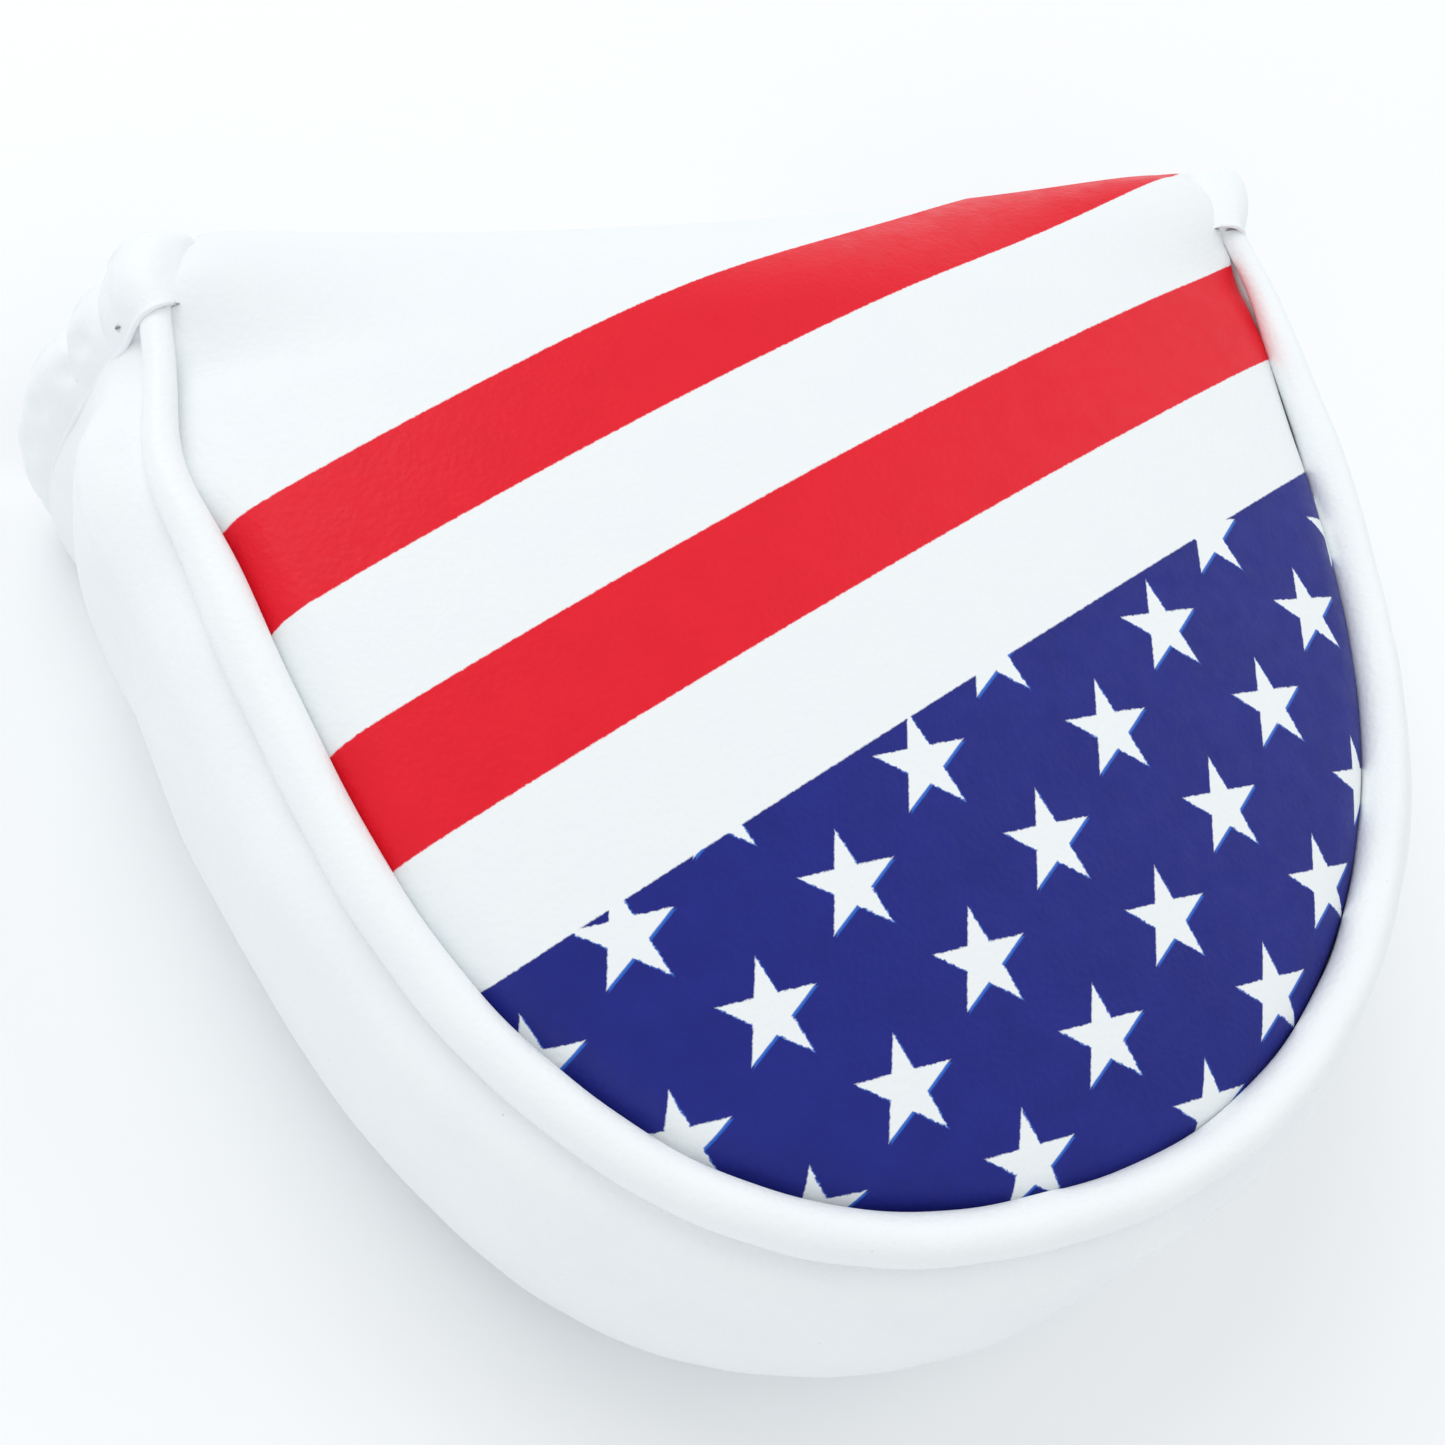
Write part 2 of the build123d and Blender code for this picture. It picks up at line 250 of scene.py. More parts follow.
def lengths(line):
    """The distance along a polyline to each of its points."""
    return np.concatenate([[0], np.cumsum(np.linalg.norm(np.diff(line, axis=0), axis=1))])


def add_object(name, data):
    piece = bpy.data.objects.new(name, data)
    bpy.context.scene.collection.objects.link(piece)
    return piece


def smooth_shaded(mesh):
    mesh.polygons.foreach_set("use_smooth", [True] * len(mesh.polygons))


def make_mesh(name, points, faces):
    mesh = bpy.data.meshes.new(name)
    mesh.from_pydata((np.asarray(points).reshape(-1, 3) * MM).tolist(), [], faces)
    mesh.validate()
    smooth_shaded(mesh)
    mesh.update()
    return add_object(name, mesh)


def grid_faces(rows, columns, wrap, start):
    """Quads of a grid whose points run along each row in turn."""
    faces = []
    for row in range(start, start + (rows - 1) * columns, columns):
        for j in range(columns if wrap else columns - 1):
            k = (j + 1) % columns
            faces.append((row + j, row + k, row + columns + k, row + columns + j))
    return faces


def tube_faces(rows, columns, start=0):
    """A grid's quads when its rows are closed rings, and a face at each end."""
    last = start + (rows - 1) * columns
    return [*grid_faces(rows, columns, True, start), tuple(range(start, start + columns)),
            tuple(range(last, last + columns))[::-1]]


def closed_grid(name, grid):
    """A closed mesh from a grid of points (rows, columns, 3), whose rows are rings."""
    piece = make_mesh(name, grid, tube_faces(*grid.shape[:2]))
    face_out(piece)
    return piece


def open_grid(name, grid):
    return make_mesh(name, grid, grid_faces(*grid.shape[:2], False, 0))


def strip(first, start):
    """A new row of point numbers, and the quads that join it to the row before."""
    row = list(range(start, start + len(first)))
    return row, [(row[j], row[j + 1], first[j + 1], first[j]) for j in range(len(first) - 1)]


def face_out(piece, always=False):
    """Turns a closed mesh's faces outwards, or any mesh's faces all the same way."""
    work = bmesh.new()
    work.from_mesh(piece.data)
    if always or all(len(e.link_faces) == 2 for e in work.edges):
        bmesh.ops.recalc_face_normals(work, faces=work.faces)
    work.to_mesh(piece.data)
    work.free()


def flip_if(wrong, sheet):
    """Turns all of an open sheet's faces over if they look the wrong way."""
    if wrong:
        sheet.data.flip_normals()
        sheet.data.update()


def apply_modifiers(piece):
    """The piece's mesh with its modifiers in it."""
    depsgraph = bpy.context.evaluated_depsgraph_get()
    mesh = bpy.data.meshes.new_from_object(piece.evaluated_get(depsgraph))
    piece.modifiers.clear()
    piece.data = mesh
    return piece


def points_of(piece):
    flat = np.zeros(len(piece.data.vertices) * 3)
    piece.data.vertices.foreach_get("co", flat)
    return flat.reshape(-1, 3)


def normals_of(piece):
    flat = np.zeros(len(piece.data.vertices) * 3)
    piece.data.vertex_normals.foreach_get("vector", flat)
    return flat.reshape(-1, 3)


def set_points(piece, points):
    piece.data.vertices.foreach_set("co", points.ravel())
    piece.data.update()


def layer(sheet, name, depth, thickness):
    """A closed layer under an open sheet, as deep and as thick as given."""
    mesh = sheet.data.copy()
    mesh.name = name
    piece = add_object(name, mesh)
    mesh.vertices.foreach_set("co", (points_of(piece) - normals_of(piece) * depth * MM).ravel())
    solid = piece.modifiers.new("Thickness", "SOLIDIFY")
    solid.thickness = thickness * MM
    solid.offset = -1
    solid.use_quality_normals = True
    return apply_modifiers(piece)


def remove(piece):
    bpy.data.objects.remove(piece)


def soften(sheet, pinned, pressure, cap):
    """Swells a sheet as padded fabric by cloth simulation, with its pinned edge held."""
    rest = points_of(sheet)
    sheet.vertex_groups.new(name="held").add(pinned.tolist(), 1.0, "REPLACE")
    cloth = sheet.modifiers.new("Cloth", "CLOTH")
    settings = cloth.settings
    settings.vertex_group_mass = "held"
    settings.quality = 6
    settings.mass = 0.15
    settings.tension_stiffness = 12
    settings.compression_stiffness = 12
    settings.shear_stiffness = 4
    settings.bending_stiffness = 0.6
    settings.shrink_min = -0.02
    settings.use_pressure = True
    settings.uniform_pressure_force = pressure
    settings.effector_weights.gravity = 0
    cloth.collision_settings.use_collision = False
    cloth.point_cache.frame_start = 1
    cloth.point_cache.frame_end = CLOTH_FRAMES
    for step in range(1, CLOTH_FRAMES + 1):
        bpy.context.scene.frame_set(step)
    depsgraph = bpy.context.evaluated_depsgraph_get()
    move = points_of(sheet.evaluated_get(depsgraph)) - rest
    size = np.linalg.norm(move, axis=1)
    keep = cap * MM * np.tanh(size / (cap * MM)) / np.maximum(size, 1e-9)
    sheet.modifiers.clear()
    sheet.vertex_groups.clear()
    bpy.context.scene.frame_set(1)
    set_points(sheet, rest + move * keep[:, None])


def tube(name, line, radius, sides, taper, up, squash=1.0):
    """A closed tube along a line, with round ends over a number of rings."""
    line = np.asarray(line, float)
    along = unit(np.gradient(line, axis=0))
    side = unit(np.cross(along, np.asarray(up, float)))
    top = np.cross(side, along)
    size = np.full(len(line), 1.0) * radius
    for k in range(taper):
        share = sqrt(1 - (1 - (k + 0.5) / taper) ** 2)
        size[k] *= share
        size[-1 - k] *= share
    turn = np.linspace(0, 2 * pi, sides, endpoint=False)
    ring = (np.cos(turn)[None, :, None] * side[:, None]
            + np.sin(turn)[None, :, None] * top[:, None] * squash)
    return closed_grid(name, line[:, None] + ring * size[:, None, None])


def stitches(name, line, normals):
    """A row of sewn stitches: short threads that dive into the leather at both ends."""
    stitch, gap, radius = 2.6, 0.9, 0.27
    along = lengths(line)
    count = int(along[-1] / (stitch + gap))
    pitch = along[-1] / count
    points, faces = [], []
    rings = sides = 7
    for k in range(count):
        at = k * pitch + gap / 2 + np.linspace(0, pitch - gap, rings)
        p = np.stack([np.interp(at, along, line[:, a]) for a in range(3)], axis=1)
        n = unit(np.stack([np.interp(at, along, normals[:, a]) for a in range(3)], axis=1))
        bow = np.sin(np.linspace(0, pi, rings))[:, None]
        p = p + n * (bow * 0.38 - 0.26)
        b = np.cross(unit(np.gradient(p, axis=0)), n)
        size = radius * (0.55 + 0.45 * bow)
        for ring in range(rings):
            for side in range(sides):
                a = 2 * pi * side / sides
                spoke = b[ring] * cos(a) + n[ring] * sin(a)
                points.append(p[ring] + size[ring] * spoke)
        faces += tube_faces(rings, sides, k * rings * sides)
    piece = make_mesh(name, points, faces)
    face_out(piece)
    return piece


# ---------------- materials

class Look:
    """A node material built in a few calls."""

    def __init__(self, name, color, roughness, specular=0.4, sheen=0.0, metallic=0.0):
        self.material = bpy.data.materials.new(name)
        self.material.use_nodes = True
        self.tree = self.material.node_tree
        self.shader = self.tree.nodes["Principled BSDF"]
        for socket, value in (("Base Color", (*color, 1)), ("Roughness", roughness),
                              ("Specular IOR Level", specular), ("Sheen Weight", sheen),
                              ("Metallic", metallic)):
            self.shader.inputs[socket].default_value = value
        self.place = self.node("TexCoord").outputs["Object"]

    def node(self, kind, **inputs):
        """A new node, with a value or a link for each input that is named."""
        node = self.tree.nodes.new("ShaderNode" + kind)
        for socket, value in inputs.items():
            self.put(node.inputs[socket], value)
        return node

    def put(self, socket, value):
        if isinstance(value, bpy.types.NodeSocket):
            self.tree.links.new(value, socket)
        elif value is not None:
            socket.default_value = value

    def color(self, value):
        self.put(self.shader.inputs["Base Color"], value)

    def roughness(self, noise, low, high):
        self.put(self.shader.inputs["Roughness"], self.ramp(noise, 0.3, 0.7, low, high))

    def fill(self, node, *values):
        """Puts values or links into a node's first inputs, and gives its output."""
        for socket, value in zip(node.inputs, values):
            self.put(socket, value)
        return node.outputs[0]

    def math(self, operation, *values, kind="Math"):
        node = self.node(kind)
        node.operation = operation
        return self.fill(node, *values)

    def plus(self, a, b):
        return self.math("ADD", a, b)

    def minus(self, a, b):
        return self.math("SUBTRACT", a, b)

    def times(self, a, b):
        return self.math("MULTIPLY", a, b)

    def noise(self, size, detail=2.0, roughness=0.5, stretch=None):
        """Noise whose features are about as large as size, in millimetres."""
        place = self.place
        if stretch:
            place = self.node("Mapping", Scale=stretch, Vector=place).outputs[0]
        return self.node("TexNoise", Scale=1 / (size * MM), Detail=detail, Roughness=roughness,
                         Vector=place).outputs["Fac"]

    def cells(self, size, feature="F1", place=None):
        node = self.node("TexVoronoi", Scale=1 / (size * MM), Vector=place or self.place)
        node.feature = feature
        return node.outputs["Distance"]

    def ramp(self, value, low, high, out_low=0.0, out_high=1.0):
        return self.fill(self.node("MapRange"), value, low, high, out_low, out_high)

    def mix(self, share, first, second):
        node = self.node("Mix")
        node.data_type = "RGBA"
        self.put(node.inputs[0], share)
        self.put(node.inputs[6], (*first, 1) if isinstance(first, tuple) else first)
        self.put(node.inputs[7], (*second, 1) if isinstance(second, tuple) else second)
        return node.outputs[2]

    def bump(self, heights):
        """Bump from (height, depth in millimetres) pairs, one on another. Gives the material."""
        below = None
        for height, depth in heights:
            node = self.node("Bump", Strength=1.0, Distance=depth * MM, Height=height, Normal=below)
            below = node.outputs[0]
        self.put(self.shader.inputs["Normal"], below)
        return self.material

    def grain(self, cell=0.55, depth=0.05):
        """Leather: small rounded cells in uneven lines, over soft large ripples."""
        shift = self.node("TexNoise", Scale=1 / (1.3 * MM), Vector=self.place)
        place = self.math("MULTIPLY_ADD", shift.outputs["Color"], (0.5 * MM,) * 3, self.place,
                          kind="VectorMath")
        pebbles = self.cells(cell, "SMOOTH_F1", place)
        return [(pebbles, -depth), (self.noise(0.22, 3.0), depth * 0.45),
                (self.noise(5.0, 2.0), depth * 0.9)]


WHITE = (0.89, 0.925, 0.935)


def white_leather():
    look = Look("white_leather", WHITE, 0.44, specular=0.42)
    tone = look.ramp(look.noise(9.0, 4.0), 0.35, 0.7)
    color = look.mix(tone, WHITE, (0.87, 0.905, 0.92))
    specks = look.ramp(look.noise(0.8, 1.0), 0.80, 0.83)
    look.color(look.mix(specks, color, (0.72, 0.73, 0.73)))
    look.roughness(look.noise(2.5, 3.0), 0.38, 0.52)
    return look.bump(look.grain())


def star_mask(look, x, y):
    """1 inside the five-pointed star round the origin, whose tip points along +Y."""
    fifth = pi / 5
    waist = STAR_RADIUS * STAR_WAIST
    across, rise = STAR_RADIUS - waist * cos(fifth), waist * sin(fifth)
    size = hypot(across, rise)
    fold = look.math("PINGPONG", look.math("ARCTAN2", x, y), fifth)
    radius = look.math("SQRT", look.plus(look.times(x, x), look.times(y, y)))
    qx = look.times(radius, look.math("SINE", fold))
    qy = look.minus(look.times(radius, look.math("COSINE", fold)), STAR_RADIUS)
    past = look.plus(look.times(qx, across / size), look.times(qy, rise / size))
    return look.ramp(past, PRINT_EDGE, -PRINT_EDGE)


def star_field(look, x, y):
    """Stars in staggered rows: two rectangular lattices, one between the other."""
    x0, y0 = look.minus(x, STAR_FIRST[0]), look.minus(y, STAR_FIRST[1])
    y0 = look.math("MULTIPLY_ADD", x0, STAR_TURN, y0)
    x0 = look.math("MULTIPLY_ADD", y0, STAR_SHEAR, x0)
    masks = []
    for shift in (0.0, 0.5):
        u = look.math("WRAP", look.plus(x0, shift * STAR_PITCH), STAR_PITCH / 2, -STAR_PITCH / 2)
        v = look.math("WRAP", look.plus(y0, shift * 2 * STAR_ROW), STAR_ROW, -STAR_ROW)
        masks.append(star_mask(look, u, v))
    return look.math("MAXIMUM", *masks)


def printed_leather():
    """Stripes and a field of stars, printed on the panel's flat leather."""
    look = Look("printed_leather", WHITE, 0.42, specular=0.24)
    flat = look.node("Attribute")
    flat.attribute_name = "print"
    split = look.node("SeparateXYZ", Vector=flat.outputs["Vector"])
    ragged = look.times(look.minus(look.noise(0.45, 3.0, 0.7), 0.5), 0.42)
    x, y = look.plus(split.outputs[0], ragged), look.plus(split.outputs[1], ragged)
    across = look.plus(look.times(x, -sin(STRIPE_LEAN)), look.times(y, cos(STRIPE_LEAN)))
    edges = CANTON_EDGE + np.cumsum([0, *STRIPE_WIDTHS])
    inside = [look.ramp(across, e - PRINT_EDGE, e + PRINT_EDGE) for e in edges]
    red = look.math("MAXIMUM", look.minus(inside[1], inside[2]), look.minus(inside[3], inside[4]))
    field = look.times(look.minus(1.0, inside[0]), look.minus(1.0, star_field(look, x, y)))
    ghost = star_field(look, look.plus(x, GHOST_SHIFT[0]), look.plus(y, GHOST_SHIFT[1]))
    blotch = look.ramp(look.noise(5.0, 5.0, 0.6), 0.3, 0.75)
    white = look.mix(blotch, (0.855, 0.89, 0.90), (0.84, 0.88, 0.892))
    red_ink = look.mix(blotch, (0.775, 0.006, 0.022), (0.735, 0.005, 0.020))
    blue_ink = look.mix(blotch, (0.010, 0.016, 0.225), (0.007, 0.012, 0.185))
    color = look.mix(red, white, red_ink)
    color = look.mix(field, color, blue_ink)
    look.color(look.mix(look.times(look.times(field, ghost), 0.85), color, (0.02, 0.15, 0.66)))
    look.roughness(look.noise(2.0, 3.0), 0.36, 0.50)
    return look.bump(look.grain(depth=0.04))


def plush():
    look = Look("plush_lining", (0.02, 0.028, 0.10), 0.95, specular=0.15, sheen=0.6)
    look.shader.inputs["Sheen Roughness"].default_value = 0.45
    tufts = look.noise(0.5, 4.0, 0.75)
    look.color(look.mix(look.ramp(tufts, 0.3, 0.75), (0.012, 0.017, 0.065), (0.035, 0.05, 0.155)))
    return look.bump([(tufts, 0.5), (look.noise(3.0, 3.0), 0.4)])


def ribbed_tape(name, color, groove_shade, rib):
    """Woven tape or knitted elastic: fine ribs with threads across them, and painted shade in the
    grooves between the ribs.
    """
    look = Look(name, color, 0.78, specular=0.2, sheen=0.2)
    wave = look.node("TexWave", Scale=0.31 / (rib * MM), Distortion=0.6, Vector=look.place)
    wave.bands_direction = "X"
    ribs, threads = wave.outputs["Fac"], look.noise(0.2, 2.0)
    # painted shade: the darker colour falls where the ribs' bump is low, in the grooves
    look.color(look.mix(look.times(ribs, threads), groove_shade, color))
    return look.bump([(ribs, 0.12), (threads, 0.06)])


def foam_look():
    look = Look("foam", (0.74, 0.72, 0.62), 0.92, specular=0.1)
    pores = look.cells(0.8)
    # painted shade: the colour is darker in the middle of each pore, where the bump dips
    look.color(look.mix(look.ramp(pores, 0.1, 0.5), (0.60, 0.57, 0.47), (0.78, 0.76, 0.67)))
    return look.bump([(pores, 0.35), (look.noise(0.3, 2.0), 0.1)])


def thread_look():
    look = Look("thread", (0.86, 0.88, 0.89), 0.55, specular=0.35)
    twist = look.noise(0.25, 2.0, stretch=(1, 1, 3))
    look.color(look.mix(twist, (0.80, 0.82, 0.84), (0.92, 0.94, 0.95)))
    return look.bump([(twist, 0.08)])


def magnet_look():
    look = Look("nickel", (0.62, 0.61, 0.59), 0.28, metallic=1.0)
    look.roughness(look.noise(1.5, 4.0), 0.2, 0.42)
    return look.bump([(look.noise(0.4, 3.0, stretch=(1, 8, 1)), 0.01)])


LOOKS = {
    "printed_leather": printed_leather(),
    "white_leather": white_leather(),
    "foam": foam_look(),
    "lining": plush(),
    # The second colour of each tape is its painted shade, for the grooves between its ribs
    "binding_tape": ribbed_tape("binding_tape", (0.84, 0.87, 0.88), (0.66, 0.69, 0.71), 0.7),
    "elastic": ribbed_tape("elastic", (0.82, 0.83, 0.82), (0.58, 0.59, 0.59), 1.0),
    "magnet_steel": magnet_look(),
    "thread": thread_look(),
}


def wear(piece, look):
    piece.data.materials.clear()
    piece.data.materials.append(LOOKS[look])


def finish(piece, slot, *nodes, body="pouch", look=None, padded=None):
    """Gives a piece its material and its body, and hides the CAD nodes it stands for."""
    wear(piece, look or slot)
    if body:
        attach(piece, body)
    if nodes:
        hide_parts(*nodes)


# ---------------- top panel

def to_edge(plan, loop, side, shares):
    """How far each point of the panel's rings is from the panel's sewn edge."""
    middle = np.array([0, CROWN_Y])
    out = outward(side)
    reach = np.abs(((side - middle) * out).sum(1))
    reach = np.concatenate([reach, np.full(len(loop) - len(side), reach[-1])])
    radial = (1 - shares)[:, None] * reach[None]
    left = side[:, 0] < 0
    y = plan[..., 1]
    edge_left = np.interp(-y, -side[left][:, 1], -side[left][:, 0])
    edge_right = np.interp(y, side[~left][:, 1], side[~left][:, 0])
    edge = np.where(plan[..., 0] < 0, edge_left, edge_right)
    across = (edge - np.abs(plan[..., 0])) * 0.95
    front = ease((y + 20) / 20)
    return radial * (1 - front) + across * front


def panel_sheet(name, front, rings, around, across, shrink=0.0, leather=True):
    """The panel's surface: rings from the crown's middle to the outline. The leather's edge
    is also tucked down beside the welt, and a strip of it folds over the mouth. The print's
    coordinates are distances from the crown's middle along the surface."""
    side = d_line(-shrink, around, front)
    mouth_x = np.linspace(side[-1, 0], side[0, 0], across)[1:-1]
    bow = MOUTH_BOW * (1 - (mouth_x / mouth_x.max()) ** 2) * leather
    mouth = np.stack([mouth_x, front + bow], axis=1)
    loop = np.vstack([side, mouth])
    count = len(loop)
    shares = 1 - (1 - np.arange(1, rings + 1) / rings) ** 1.8
    middle = np.array([0, CROWN_Y])
    plan = middle + (loop - middle)[None] * shares[:, None, None]
    near = np.clip(1 - to_edge(plan, loop, side, shares) / SHOULDER_WIDTH, 0, 1)
    height = panel_height(plan[..., 0], plan[..., 1])
    drop = (1.0 if leather else 0.5) * SHOULDER_DROP * (1 - 0.8 * ease((plan[..., 1] + 3) / 13))
    sunk = (0.75 + 2.6 * ease(-loop[:, 0] / 20)) * (1 - ease((loop[:, 1] + 16) / 12))
    floor = EDGE_FLOOR - sunk
    drop = np.minimum(drop, np.maximum(height[-1] - floor, 0)[None])
    height -= drop * (1 - np.sqrt(1 - (near * 0.985) ** 2))
    centre = float(panel_height(np.array(0.0), np.array(CROWN_Y)))
    rise = np.diff(np.concatenate([np.full((1, count), centre), height]), axis=0)
    run = np.diff([0, *shares])[:, None] * np.linalg.norm(loop - middle, axis=1)[None]
    length = np.cumsum(np.hypot(rise, run), axis=0)
    flat = (middle + unit(loop - middle)[None] * length[..., None]).reshape(-1, 2)
    flat = np.vstack([middle, flat])
    points = lift(plan[..., 0], plan[..., 1], height).reshape(-1, 3)
    points = np.vstack([lift(0.0, CROWN_Y, centre), points])
    faces = [(0, 1 + j, 1 + (j + 1) % count) for j in range(count)]
    faces += [f[::-1] for f in grid_faces(rings, count, True, 1)]
    last = 1 + (rings - 1) * count
    if leather:
        out = outward(side)
        height = height[-1, :around]
        first = range(last, last + around)
        for push, drop in ((0.25, 0.5), (0.35, 1.2), (0.2, 2.4), (0.0, 3.6)):
            ring = side + out * push
            first, quads = strip(first, len(points))
            faces += quads
            points = np.vstack([points, lift(ring[:, 0], ring[:, 1], height - drop)])
            flat = np.vstack([flat, flat[last:last + around] + out * drop])
        edge = [last + around - 1, *range(last + around, last + count), last]
        top = points[edge]
        slope = atan2(1.15, 1.0)
        turns = np.linspace(slope, radians(91), 9)[1:]
        ahead = [(sin(a) - sin(slope)) / (1 - sin(slope)) for a in turns] + [1.0] * 4
        drops = [FOLD_RADIUS * (cos(slope) - cos(a)) for a in turns]
        drops += [drops[-1] + d for d in np.linspace(0.8, LEATHER_DROP, 4)]
        forward = FLAP_FACE + 0.35 - top[:, 1]
        end = np.where(top[:, 0] < 0, -top[:, 0].min(), top[:, 0].max())
        round_end = np.clip((np.abs(top[:, 0]) - end + 2.2) / 2.2, 0, 1)
        corner = 2.2 * (1 - np.sqrt(1 - (round_end * 0.99) ** 2))
        travel, before = 0.0, (0.0, 0.0)
        first = edge
        for share, drop in zip(ahead, drops):
            step = (share * float(forward.mean()), drop)
            travel += hypot(step[0] - before[0], step[1] - before[1])
            before = step
            first, quads = strip(first, len(points))
            faces += quads
            move = np.stack([np.zeros(len(edge)), share * forward - corner * min(1, drop / 2.5),
                             np.full(len(edge), -drop)], axis=1)
            points = np.vstack([points, top + move])
            flat = np.vstack([flat, flat[edge] + np.array([0, travel])])
    piece = make_mesh(name, points, faces)
    attribute = piece.data.attributes.new("print", "FLOAT_VECTOR", "POINT")
    attribute.data.foreach_set("vector", np.pad(flat, ((0, 0), (0, 1))).ravel())
    return piece


def under_panel(name, shrink, near, far):
    """A layer under the panel's leather, straight down between two depths."""
    sheets = []
    for depth in (far, near):
        sheet = panel_sheet(name + "_sheet", STACK_FRONT, rings=26, around=180, across=60,
                            shrink=shrink, leather=False)
        points = points_of(sheet)
        points[:, 2] -= depth * MM
        set_points(sheet, points)
        sheets.append(sheet)
    return between(name, *sheets)


def build_panel():
    across = 110
    outer = panel_sheet("panel_outer", MOUTH_Y, rings=52, around=300, across=across)
    flip_if(normals_of(outer)[:, 2].mean() < 0, outer)
    hem_row = points_of(outer)[-2 * across:-across][4:-4] / MM
    sewing = stitches("flap_seam_stitches", hem_row + (0, 0.3, 0.4),
                      np.tile([0, 1.0, 0], (len(hem_row), 1)))
    leather = layer(outer, "panel_leather", 0, SKIN)
    remove(outer)
    foam = under_panel("panel_foam", 3.5, SKIN + 0.3, SKIN + FOAM)
    lining = under_panel("panel_lining", 2.2, SKIN + FOAM + 0.05, STACK)
    finish(leather, "printed_leather", "top_panel_skin", body=None)
    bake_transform(leather)
    finish(foam, "foam", "top_panel_foam", padded=0.8)
    finish(sewing, "white_leather", look="thread", body="closure_flap")
    finish(lining, "lining", "top_panel_lining")


def mouth_binding():
    """Tape folded round the panel's mouth edge, under the leather."""
    half = float(half_width(STACK_FRONT)) - 3.4
    x = np.linspace(-half, half, 90)
    height = panel_height(x, np.full_like(x, STACK_FRONT))
    profile = curve_through([(-5.0, -STACK - 0.5), (-1.0, -STACK - 0.6), (0.5, -STACK + 0.2),
                             (0.75, -3.4), (0.5, -SKIN - 0.6), (-0.6, -SKIN - 0.35)], 26)
    back = curve_through([(-0.6, -SKIN - 0.9), (0.0, -SKIN - 1.2), (0.1, -3.4),
                          (0.0, -STACK + 0.1), (-1.0, -STACK - 0.05), (-5.0, -STACK + 0.0)], 26)
    loop = np.vstack([profile, back])
    grid = np.stack([lift(x, STACK_FRONT + a, height + b) for a, b in loop], axis=1)
    finish(closed_grid("panel_mouth_binding", grid), "binding_tape", "top_mouth_binding")


# ---------------- welt

def welt_radius(y):
    """The welt's radius, which thins towards the mouth."""
    return WELT_RADIUS + (WELT_THIN - WELT_RADIUS) * ease((y + 22) / 20) - 0.3 * ease((y + 4) / 10)


def build_welt():
    count = 420
    path = d_line(0.0, count, HEM_SEAM - WIDEST + 0.6)
    radius = welt_radius(path[:, 1])
    path = path + outward(path) * (radius * 0.86)[:, None]
    line = lift(path[:, 0], path[:, 1], np.zeros(count))
    up = lift(0, 0, 1) - lift(0, 0, 0)
    line = line + up * wobble(line, 34.0, 0.16, 5)[:, None]
    roll = tube("welt_roll", line, radius, sides=26, taper=3, squash=0.96, up=up)
    points = points_of(roll)
    set_points(roll, points + normals_of(roll) * (wobble(points / MM, 9.0, 0.07, 8) * MM)[:, None])
    finish(roll, "white_leather", "top_welt_cover", padded=0.9)
    cord = tube("welt_cord", line, radius - WELT_LEATHER, sides=12, taper=3, up=up)
    finish(cord, "foam", "top_welt_cord")


# ---------------- gusset

# The side wall from the welt down to the sole: (offset from the panel's outline, share of
# the wall's height), beside the mouth, along the sides and round the end.
MOUTH_PROFILE = [(1.7, 0.985), (2.9, 0.945), (3.7, 0.87), (4.6, 0.77), (5.6, 0.66), (6.6, 0.54),
                 (7.3, 0.40), (7.2, 0.28), (6.2, 0.15), (4.6, 0.05), (2.8, 0.012)]
SIDE_PROFILE = [(3.0, 0.985), (4.9, 0.962), (6.6, 0.925), (7.4, 0.86), (7.3, 0.78), (6.9, 0.68),
                (6.3, 0.56), (5.0, 0.42), (3.2, 0.28), (1.2, 0.13), (-0.6, 0.05), (-2.2, 0.012)]
REAR_PROFILE = [(3.0, 0.985), (5.2, 0.96), (7.0, 0.90), (7.7, 0.82), (8.2, 0.72), (9.0, 0.60),
                (9.1, 0.46), (8.4, 0.32), (7.2, 0.18), (5.4, 0.07), (3.2, 0.012)]
WALL_TOP = -1.0  # where the wall starts, under the welt


def wall_shares(path, out):
    """How much of the wall's rear and mouth profiles each place on the D takes."""
    return np.where(path[:, 1] < 0, out[:, 1] ** 2, 0), ease((path[:, 1] + 3) / 13)


def wall_slack(path):
    """How far the wall hangs slack round its end, right of the middle."""
    return 3.0 * np.exp(-(((path[:, 0] - 22) / 17) ** 2)) * (path[:, 1] < 0)


def wall_grid(around, down):
    """Points of the gusset's outer surface, from the mouth's left round to its right."""
    path = d_line(0, around, HEM_SEAM - WIDEST + 0.2)
    out = outward(path)
    mouth, side, rear = (curve_through(profile, down)
                         for profile in (MOUTH_PROFILE, SIDE_PROFILE, REAR_PROFILE))
    end, front = (share[:, None, None] for share in wall_shares(path, out))
    profile = side[None] * (1 - end - front) + rear[None] * end + mouth[None] * front
    level = profile[..., 1]
    offset = profile[..., 0] - wall_slack(path)[:, None] * ease(1.9 - level * 2)
    offset = offset - side_swell(path)[:, None] * 0.7 * (1 - level) * (path[:, 0] < 0)[:, None]
    full = ease((path[:, 0] - 36) / 18) * ease((6 - path[:, 1]) / 20)
    offset = offset + 2.0 * full[:, None] * np.exp(-(((level - 0.84) / 0.13) ** 2))
    thin = (WELT_RADIUS - welt_radius(path[:, 1])) * (1 - front[:, 0, 0])
    offset = offset - 2.0 * thin[:, None] * ease((level - 0.86) / 0.09)
    plan = path[:, None] + out[:, None] * offset[..., None]
    grid = lift(plan[..., 0], plan[..., 1], WALL_TOP)
    grid[..., 2] *= level
    return grid


